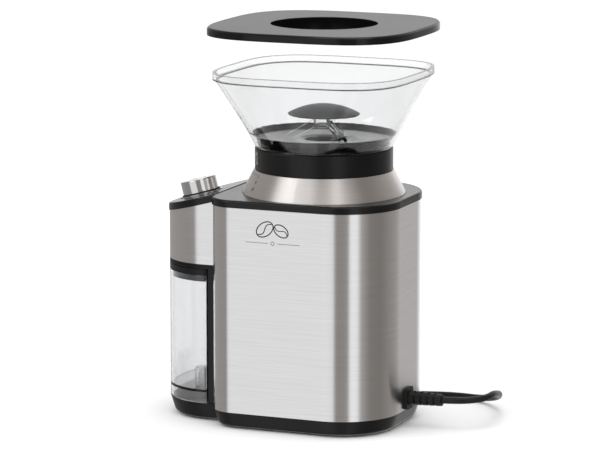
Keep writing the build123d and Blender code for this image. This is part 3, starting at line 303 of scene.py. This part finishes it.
sleeve_steel = brushed_steel("brushed steel sheet", bright=(0.875, 0.87, 0.88),
                           warm=(0.77, 0.76, 0.76), rough=(0.20, 0.25))
wear(sleeve_steel, "steel_sleeve", "front_cover")

# A badge of two coffee beans over a thin rule, printed in black on the steel.
badge_y, badge_z = 0.0055, 0.146
print_lift = 0.00006
badge_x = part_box("steel_sleeve")[1].x + print_lift
ink = grained("printing ink", dark=(0.010, 0.010, 0.010), light=(0.020, 0.020, 0.020),
              rough=(0.30, 0.42), grain_size=3000.0, depth=0.00002)


def printed_line(points, width):
    """A flat printed line: a long thin grid laid along points of the plane."""
    clean_slate()
    bpy.ops.mesh.primitive_grid_add(x_subdivisions=len(points) - 1, y_subdivisions=1, size=1.0)
    strip = bpy.context.object
    for corner in strip.data.vertices:
        i = round((corner.co.x + 0.5) * (len(points) - 1))
        here = Vector(points[i])
        before, after = points[max(i - 1, 0)], points[min(i + 1, len(points) - 1)]
        along = (Vector(after) - Vector(before)).normalized()
        aside = Vector((-along.y, along.x)) * corner.co.y * width
        corner.co = (here.x + aside.x, here.y + aside.y, 0.0)
    return strip


def turned(u, v, turn, middle):
    """A point of the plane turned about the origin, then moved."""
    return (middle[0] + u * math.cos(turn) - v * math.sin(turn),
            middle[1] + u * math.sin(turn) + v * math.cos(turn))


def oval(size, squeeze, turn=0.0, middle=(0.0, 0.0), steps=48):
    """Points of a turned oval."""
    line = []
    for i in range(steps + 1):
        a = 2 * math.pi * i / steps
        u, v = size * math.cos(a), size * squeeze * math.sin(a)
        line.append(turned(u, v, turn, middle))
    return line


def crease(size, turn, middle, steps=24):
    """Points of a bean's curved crease."""
    line = []
    for i in range(steps + 1):
        t = -1 + 2 * i / steps
        u, v = size * 0.92 * t, size * 0.22 * math.sin(math.pi * t)
        line.append(turned(u, v, turn, middle))
    return line


def numeral(text, size, middle, turn=0.0):
    """A number as a flat mesh in the plane."""
    clean_slate()
    bpy.ops.object.text_add(location=(0.0, 0.0, 0.0))
    letters = bpy.context.object
    letters.data.body = text
    letters.data.size = size
    letters.data.resolution_u = 4
    letters.data.align_x, letters.data.align_y = "CENTER", "CENTER"
    bpy.ops.object.convert(target="MESH")
    letters = bpy.context.object
    letters.data.transform(Matrix.Translation((*middle, 0.0)) @ Matrix.Rotation(turn, 4, "Z"))
    return letters


def print_on(name, flats, lay, finish, body):
    """Joins flat prints into one piece and lays it on a surface by its function."""
    clean_slate()
    for flat in flats:
        flat.select_set(True)
    bpy.context.view_layer.objects.active = flats[0]
    bpy.ops.object.join()
    piece = bpy.context.object
    piece.name = piece.data.name = name
    for corner in piece.data.vertices:
        corner.co = lay(corner.co.x, corner.co.y)
    piece.data.materials.clear()
    piece.data.materials.append(finish)
    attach(piece, body)
    return piece


left_bean, right_bean = (-0.0060, 0.0036), (0.0066, 0.0030)
bean_width = 0.66
rule_length, rule_height = 0.0175, -0.0064
badge = [printed_line(oval(0.0072, bean_width, 0.62, left_bean), 0.0008),
         printed_line(crease(0.0072, 0.62, left_bean), 0.0007),
         printed_line(oval(0.0060, bean_width, -0.55, right_bean), 0.0008),
         printed_line(crease(0.0060, -0.55, right_bean), 0.0006)]
for rule_start in (-0.021, 0.0035):
    rule = [(rule_start + rule_length * i / 8, rule_height) for i in range(9)]
    badge.append(printed_line(rule, 0.0003))
badge.append(printed_line(oval(0.0013, 1.0, 0.0, (0.0, rule_height), 24), 0.00035))
print_on("bean_badge", badge, lambda u, v: (badge_x, badge_y + u, badge_z + v), ink,
         "housing")


# ---- top frame and cone -------------------------------------------------------------
# A black moulded frame closes the steel sleeve. It is smoother than the base and carries
# the spun steel cone, which has the printed grind scale round its front.
frame_black = grained("smooth black ABS", dark=(0.0045, 0.0045, 0.0050), light=(0.0070, 0.0070, 0.0075),
                      rough=(0.16, 0.24), grain_size=1700.0, depth=0.00008)
wear(frame_black, "top_frame", "front_top_plate")
cone_steel = brushed_steel("spun steel", bright=(0.88, 0.845, 0.825),
                           warm=(0.79, 0.75, 0.725), rough=(0.37, 0.43))
wear(cone_steel, "cone_ring")

# Grind scale printed round the cone, with the click positions 5 degrees apart.
cone_foot, cone_head = 0.1693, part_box("cone_ring")[1].z
foot_radius, head_radius = 0.0595, 0.0510
scale_radius = 0.0540
axis_y = (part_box("cone_ring")[0].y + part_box("cone_ring")[1].y) / 2
slope_length = math.hypot(cone_head - cone_foot, foot_radius - head_radius)


def on_cone(u, v):
    """u goes round the cone and v up its slope, both in metres."""
    up = v / slope_length
    radius = foot_radius + (head_radius - foot_radius) * up + print_lift
    turn = u / scale_radius
    return (radius * math.cos(turn), axis_y + radius * math.sin(turn),
            cone_foot + (cone_head - cone_foot) * up + 0.00003)


scale_start, click_step = -123.0, 5.0
marks = []
for click in range(17):
    u = scale_radius * math.radians(scale_start + click_step * click)
    mark_foot, mark_width = (0.0142, 0.00055) if click % 4 == 0 else (0.0155, 0.0004)
    marks.append(printed_line([(u, 0.0172), (u, mark_foot)], mark_width))
    if click % 4 == 0:
        marks.append(numeral(str(1 + 2 * (click // 4)), 0.0042, (u, 0.0108)))
# Under the numbers, a coffee ground drawn larger from fine to coarse.
for i in range(5):
    u = scale_radius * math.radians(scale_start + 4 * click_step * i)
    marks.append(printed_line(oval(0.0006 + 0.00022 * i, 0.7, 0.5, (u, 0.0058), 20), 0.0004))
print_on("grind_scale", marks, on_cone, ink, "housing")


# ---- adjusting collar ---------------------------------------------------------------
# The collar is a black moulding with a fine line round its shoulder, and a clear pointer
# let into it that reads against the grind scale.
collar_black = grained("collar black ABS", dark=(0.0035, 0.0035, 0.0040), light=(0.0055, 0.0055, 0.0060),
                       rough=(0.24, 0.33), grain_size=1500.0, depth=0.0001)
wear(collar_black, "adjusting_collar")


# ---- hopper, tray, guard and cap ----------------------------------------------------
# The hopper, the guard's struts and the container are moulded in clear styrene, with very
# faint waves and a few hairlines, and painted shade where they are seen edge on and along the hopper's
# rims. The tray is smoked and glossy, the cap dark grey.
def clear_styrene(name, colour, rough, rim_shade_bands=()):
    """Clear plastic, with painted shade where it is seen edge on and painted shade bands along the rims at
    the given heights.
    """
    finish, place = start_finish(name, {"Transmission Weight": 1.0, "IOR": 1.49,
                                        "Specular IOR Level": 0.5})
    lighter = [min(c + 0.02, 1.0) for c in colour]
    # painted shade: the colour toward which edges seen edge on are darkened
    edge_shade_tint = [c * 0.16 for c in colour]
    wave = noise(place, 9.0, 1.0)
    hairline = limits(noise(stretch(place, 40.0, 40.0, 700.0), 1.0, 2.0), 0.62, 0.8)
    # painted shade where the surface is seen edge on, standing in for the dark outlines of the clear walls
    painted_edge_shade = limits(place.node("LayerWeight", {}, {"Blend": 0.3}, out=1), 0.50, 0.92) ** 1.5
    clear = mix(limits(wave, 0.3, 0.7), (*colour, 1), (*lighter, 1))
    height = place.node("SeparateXYZ", {}, {0: place}, out=2)
    soft = 0.0001
    # painted shade: dark bands painted round the rims at the given heights
    for low, high, dark in rim_shade_bands:
        band = (limits(height, low - soft, low + soft)
                * limits(height, high - soft, high + soft, 1.0, 0.0))
        clear = mix(band, clear, (dark, dark, dark, 1))
    lay_on(finish, {
        "Base Color": mix(painted_edge_shade, clear, (*edge_shade_tint, 1)),
        "Roughness": hairline * 0.03 + rough,
        "Normal": bump(wave, 0.05, 0.002),
    })
    return finish


hopper_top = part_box("hopper")[1].z
# painted shade bands: a painted shadow under the lip, then a painted dark outline along its top edge
hopper_rim_shade_bands = ((hopper_top - 0.0056, hopper_top - 0.0048, 0.10),
               (hopper_top - 0.0004, hopper_top + 0.001, 0.30))
hopper_clear = clear_styrene("clear styrene", (0.90, 0.905, 0.91), 0.01, hopper_rim_shade_bands)
wear(hopper_clear, "hopper", "bean_guard", "pointer_tab")
container_clear = clear_styrene("container styrene", (0.80, 0.805, 0.815), 0.012)
wear(container_clear, "container", "container_post")

tray_black = grained("smoked tray", dark=(0.0015, 0.0015, 0.0020), light=(0.0025, 0.0025, 0.0030),
                     rough=(0.05, 0.08), grain_size=900.0, depth=0.00002)
wear(tray_black, "hopper_tray")
cap_grey = grained("dark grey cap", dark=(0.085, 0.087, 0.092), light=(0.105, 0.107, 0.112),
                   rough=(0.36, 0.46), grain_size=1600.0, depth=0.0001)
wear(cap_grey, "guard_cap")


# ---- lid ----------------------------------------------------------------------------
# The lid is a black ABS moulding that drops over the hopper's rim. Its top face is finely
# textured, with a lighter grey painted on it as painted light that the top catches, and its edge and
# finger dish are polished.
lid_black, place = start_finish("lid ABS", {"Specular IOR Level": 0.25})
grain = noise(place, 1500.0, 3.0, 0.6)
lid_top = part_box("lid")[1].z
height = place.node("SeparateXYZ", {}, {0: place}, out=2)
# the top face: finely textured, and painted a lighter grey as painted light
textured_top_painted_lighter = limits(height, lid_top - 0.0006, lid_top - 0.0002)
cloud = limits(noise(place, 24.0, 3.0), 0.35, 0.68)
lay_on(lid_black, {
    # painted light: the top face is painted a lighter grey than the edge
    "Base Color": mix(textured_top_painted_lighter, (0.005, 0.005, 0.0055, 1),
                      mix(cloud, (0.036, 0.036, 0.038, 1), (0.048, 0.048, 0.050, 1))),
    "Roughness": limits(grain, 0.3, 0.7, 0.10, 0.15) + textured_top_painted_lighter * 0.22,
    "Normal": bump(grain * textured_top_painted_lighter, 0.2, 0.00012),
})
wear(lid_black, "lid")


# ---- knob, bezel and button ---------------------------------------------------------
# The knob, its ring and the button in its middle are chrome plated ABS, with a faint ripple
# under the plating. The knob turns on a hollow shaft, square to the sloped plate.
chrome, place = start_finish("chrome plate", {"Metallic": 1.0})
ripple = noise(place, 160.0, 2.0)
wipe = limits(noise(place, 45.0, 3.0), 0.35, 0.7)
lay_on(chrome, {
    "Base Color": mix(wipe, (0.80, 0.80, 0.81, 1), (0.70, 0.70, 0.72, 1)),
    "Roughness": wipe * 0.07 + 0.05,
    "Normal": bump(ripple, 0.04, 0.0004),
})
wear(chrome, "knob", "knob_bezel", "start_button")

# Cup numbers and marks printed in light grey on the sloped plate, round the knob, and a
# dark index line and button sign on the chrome.
plate_tilt = math.radians(15.0)
knob_y = -0.0975 + axis_y
plate_z = 0.1563 + 0.0195 * math.tan(plate_tilt)


def on_slope(height):
    """Lays prints parallel to the plate, at a height over it."""
    def lay(u, v):
        return (u, knob_y + v * math.cos(plate_tilt) - height * math.sin(plate_tilt),
                plate_z + v * math.sin(plate_tilt) + height * math.cos(plate_tilt))
    return lay


print_grey = grained("light printing", dark=(0.50, 0.50, 0.50), light=(0.62, 0.62, 0.62),
                     rough=(0.4, 0.5), grain_size=3000.0, depth=0.00002)


def round_knob(radius, turn):
    """A point of the plate's plane at an angle round the knob."""
    return (radius * math.cos(turn), radius * math.sin(turn))


first_cup = math.radians(225.0)
cups = []
for cup in range(13):
    turn = math.radians(225.0 - 22.5 * cup)
    mark_end = 0.0186 if cup % 2 else 0.0192
    cups.append(printed_line([round_knob(0.0170, turn), round_knob(mark_end, turn)], 0.0005))
    if cup and cup % 2 == 0:
        cups.append(numeral(str(cup), 0.0034, round_knob(0.0215, turn)))
print_on("cup_scale", cups, on_slope(print_lift), print_grey, "housing")

knob_face = 0.0113 + 0.00005
index = [printed_line([round_knob(radius, first_cup) for radius in (0.0078, 0.0100, 0.0124)], 0.0009)]
print_on("knob_index", index, on_slope(knob_face), ink, "knob_set")
sign_radius = 0.0021
sign_turns = [math.radians(40 + 280 * i / 24) for i in range(25)]
sign = [printed_line([(sign_radius * math.sin(a), sign_radius * math.cos(a)) for a in sign_turns], 0.0004),
        printed_line([(0.0, 0.0008), (0.0, 0.0027)], 0.0004)]
print_on("button_sign", sign, on_slope(knob_face), ink, "button")


# ---- lead entry and plug ------------------------------------------------------------
# A flat two-pin plug in soft black PVC, moulded round nickel plated pins, with finger grips
# and a ribbed boot where the lead runs in. The boot at the body is of the same PVC.
def chosen(piece, test):
    """Selects, in edit mode, the faces whose middle and normal pass a test."""
    work = bmesh.from_edit_mesh(piece.data)
    for face in work.faces:
        face.select_set(False)
    for face in work.faces:
        if test(face.calc_center_median(), face.normal):
            face.select_set(True)
    work.select_flush_mode()
    bmesh.update_edit_mesh(piece.data)


def finished(piece, name, bevel, segments):
    """Rounds a piece's edges, smooths it and puts its place in its mesh."""
    bpy.ops.object.mode_set(mode="OBJECT")
    if bevel:
        rounding = piece.modifiers.new("rounding", "BEVEL")
        rounding.width, rounding.segments, rounding.limit_method = bevel, segments, "ANGLE"
        bpy.ops.object.modifier_apply(modifier=rounding.name)
    bpy.ops.object.transform_apply(location=True, rotation=True, scale=True)
    bpy.ops.object.shade_smooth_by_angle(angle=math.radians(40))
    piece.name = piece.data.name = name
    return piece


plug_low, plug_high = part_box("plug")
plug_x, plug_z = (plug_low.x + plug_high.x) / 2, (plug_low.z + plug_high.z) / 2
head_length = 0.0190
clean_slate()
bpy.ops.mesh.primitive_cube_add(size=1.0, location=(plug_x, plug_low.y + head_length / 2, plug_z),
                                scale=(0.0250, head_length, 0.0130))
plug_body = bpy.context.object
bpy.ops.object.transform_apply(location=True, rotation=True, scale=True)
bpy.ops.object.mode_set(mode="EDIT")
bpy.ops.mesh.select_mode(type="FACE")
rear = plug_low.y + head_length
for length, wide, deep in ((0.0140, 0.50, 0.92), (0.0020, 0.88, 0.95)):
    chosen(plug_body, lambda middle, normal: normal.y > 0.9 and abs(middle.y - rear) < 0.0004)
    bpy.ops.mesh.extrude_region_move(TRANSFORM_OT_translate={"value": (0.0, length, 0.0)})
    rear += length
    bpy.ops.transform.resize(value=(wide, 1.0, deep))
# finger grips: shallow grooves pressed into both flat faces
for side in (-1, 1):
    chosen(plug_body, lambda middle, normal: normal.z * side > 0.9 and middle.y < plug_low.y + 0.0189)
    bpy.ops.mesh.inset(thickness=0.0026, depth=0.0)
    bpy.ops.mesh.inset(thickness=0.0006, depth=-0.0005)
finished(plug_body, "plug_body", 0.0011, 3)

clean_slate()
bpy.ops.mesh.primitive_cylinder_add(vertices=40, radius=0.0052, depth=0.0030,
                                    location=(plug_x, plug_low.y + 0.0362, plug_z),
                                    rotation=(math.radians(90), 0.0, 0.0))
plug_boot = bpy.context.object
bpy.ops.object.transform_apply(location=True, rotation=True, scale=True)
bpy.ops.object.mode_set(mode="EDIT")
bpy.ops.mesh.select_mode(type="FACE")
# ribs: the open end is drawn out in short rings, narrow and wide by turns
end = plug_low.y + 0.0377
for ring in range(8):
    grow = 0.82 if ring % 2 == 0 else 1.18
    chosen(plug_boot, lambda middle, normal: normal.y > 0.9 and middle.y > end - 0.0004)
    bpy.ops.mesh.extrude_region_move(TRANSFORM_OT_translate={"value": (0.0, 0.0001, 0.0)})
    bpy.ops.transform.resize(value=(grow, 1.0, grow))
    bpy.ops.mesh.extrude_region_move(TRANSFORM_OT_translate={"value": (0.0, 0.0015, 0.0)})
    bpy.ops.transform.resize(value=(0.985, 1.0, 0.985))
    end += 0.0016
finished(plug_boot, "plug_boot", 0.00025, 2)
plug_body.select_set(True)
bpy.context.view_layer.objects.active = plug_body
bpy.ops.object.join()
plug_piece = bpy.context.object
plug_piece.name = plug_piece.data.name = "moulded_plug"
plug_piece.data.materials.clear()
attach(plug_piece, "housing")
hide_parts("plug")

boot_black = grained("boot PVC", dark=(0.0060, 0.0060, 0.0060), light=(0.0095, 0.0095, 0.0095),
                     rough=(0.40, 0.52), grain_size=1800.0, depth=0.00015)
plug_piece.data.materials.append(boot_black)
wear(boot_black, "strain_relief", "plug", "inner_leads")
nickel, place = start_finish("nickel plate", {"Metallic": 1.0})
fine = noise(stretch(place, 300.0, 40.0, 300.0), 1.0, 2.0)
lay_on(nickel, {
    "Base Color": mix(limits(fine, 0.3, 0.7), (0.55, 0.53, 0.48, 1), (0.72, 0.70, 0.66, 1)),
    "Roughness": limits(fine, 0.3, 0.7, 0.18, 0.32),
})
wear(nickel, "plug_pins")


# ---- inside the body ----------------------------------------------------------------
# The chassis, gears and grinding chamber are moulded nylon, the shafts and burrs turned steel.
# The spindle runs in a bronze bush under a felt ring, and two boards are screwed in place.
nylon = grained("glass filled nylon", dark=(0.50, 0.50, 0.47), light=(0.60, 0.60, 0.57),
                rough=(0.45, 0.6), grain_size=700.0, depth=0.0002)
wear(nylon, "gear_housing", "grinding_chamber", "burr_carrier", "burr_hub", "large_gear",
     "motor_end_cap", "detent_ring", "cord_clamp")
dark_nylon = grained("black nylon", dark=(0.016, 0.016, 0.016), light=(0.026, 0.026, 0.026),
                     rough=(0.42, 0.55), grain_size=800.0, depth=0.0002)
wear(dark_nylon, "chassis", "chute", "timer_switch", "hopper_switch", "container_switch")


def turned_metal(name, dark, light, rough):
    """Metal with fine lathe marks."""
    finish, place = start_finish(name, {"Metallic": 1.0})
    cut = noise(stretch(place, 60.0, 60.0, 2400.0), 1.0, 2.0)
    lay_on(finish, {
        "Base Color": mix(limits(cut, 0.3, 0.7), (*dark, 1), (*light, 1)),
        "Roughness": limits(cut, 0.3, 0.7, *rough),
        "Normal": bump(cut, 0.1, 0.00005),
    })
    return finish


turned_steel = turned_metal("machined steel", dark=(0.42, 0.42, 0.43), light=(0.60, 0.60, 0.61),
                            rough=(0.22, 0.38))
wear(turned_steel, "motor_can", "motor_shaft", "pinion", "spindle_bearing", "spindle", "lower_burr",
     "upper_burr", "feed_nut", "knob_shaft")
bronze = turned_metal("sintered bronze", dark=(0.45, 0.28, 0.13), light=(0.62, 0.42, 0.22),
                      rough=(0.35, 0.5))
wear(bronze, "spindle_bush")
felt = grained("felt", dark=(0.30, 0.29, 0.27), light=(0.42, 0.40, 0.38),
               rough=(0.85, 0.95), grain_size=1800.0, depth=0.0004)
wear(felt, "spindle_seal")
board, place = start_finish("circuit board", {})
black, white = (0, 0, 0, 1), (1, 1, 1, 1)
bricks = place.node("TexBrick", {"offset": 0.35, "squash": 1.0},
                    {"Vector": place, "Scale": 160.0, "Mortar Size": 0.03,
                     "Color1": black, "Color2": black, "Mortar": white})
tracks = limits(bricks, 0.2, 0.8)
lay_on(board, {
    "Base Color": mix(tracks, (0.012, 0.085, 0.035, 1), (0.05, 0.19, 0.08, 1)),
    "Roughness": tracks * 0.15 + 0.32,
})
wear(board, "power_board", "timer_board")


# ---- floor and light ----------------------------------------------------------------
# A pale floor under an even white studio. What glossy surfaces mirror is a ring of bright and
# dark walls instead, which puts the upright bands on the steel. Two soft boxes add a little.
floor_mesh = bpy.data.meshes.new("floor")
floor_mesh.from_pydata([(-6, -6, 0), (6, -6, 0), (6, 6, 0), (-6, 6, 0)], [], [(0, 1, 2, 3)])
floor = bpy.data.objects.new("floor", floor_mesh)
bpy.context.scene.collection.objects.link(floor)
floor.visible_glossy = False
paper, place = start_finish("pale paper", {"Base Color": (0.96, 0.96, 0.96, 1), "Roughness": 0.9,
                                           "Specular IOR Level": 0.0})
floor_mesh.materials.append(paper)

world = bpy.data.worlds.new("studio")
bpy.context.scene.world = world
world.use_nodes = True
tree = world.node_tree
direction = Wire(tree, tree.nodes.new("ShaderNodeTexCoord").outputs["Generated"])
x = direction.node("SeparateXYZ", {}, {0: direction}, out=0)
y = direction.node("SeparateXYZ", {}, {0: direction}, out=1)
round_about = y.sum("ARCTAN2", x) * (0.5 / math.pi) + 0.5

# Direction in degrees, brightness, and how much each channel falls off toward blue.
wall_levels = (
    (-180, 1.0, 1), (-160, 1.1, 1), (-150, 0.9, 1),
    (-140, 0.36, 0.96), (-60, 0.29, 0.96), (-40, 0.28, 0.95),
    (-34, 0.84, 1), (-12, 0.88, 1), (3, 0.84, 1),
    (8, 0.26, 0.93), (32, 0.30, 0.93),
    (36, 0.95, 1), (50, 0.95, 1),
    (57, 0.40, 0.96), (75, 0.22, 0.93), (100, 0.20, 0.93), (125, 0.28, 0.94), (145, 0.34, 0.95),
    (160, 0.45, 0.97), (172, 0.80, 1), (180, 1.0, 1))
stops = [((degrees + 180.0) / 360.0, (level, level * tint, level * tint * tint))
         for degrees, level, tint in wall_levels]
walls = round_about.node("ValToRGB", {"stops": stops}, {0: round_about})
paths = tree.nodes.new("ShaderNodeLightPath")
rays = Wire(tree, paths.outputs["Is Glossy Ray"])
background = tree.nodes["Background"]
tree.links.new(mix(rays, (1.05, 1.05, 1.05, 1), walls).socket, background.inputs["Color"])
background.inputs["Strength"].default_value = 1.0

light_aim = Vector((0, 0, 0.12))
for name, spot, size, power in (("softbox_left", (1.3, -1.4, 1.7), 1.2, 9.0),
                                ("softbox_top", (0.2, 0.3, 2.2), 1.6, 12.0)):
    panel = bpy.data.lights.new(name, "AREA")
    panel.size, panel.energy = size, power
    lamp = bpy.data.objects.new(name, panel)
    lamp.location = spot
    lamp.rotation_mode = "QUATERNION"
    lamp.rotation_quaternion = (light_aim - Vector(spot)).to_track_quat("-Z", "Y")
    bpy.context.scene.collection.objects.link(lamp)

view = bpy.context.scene.view_settings
view.view_transform = "Standard"
view.look = "None"
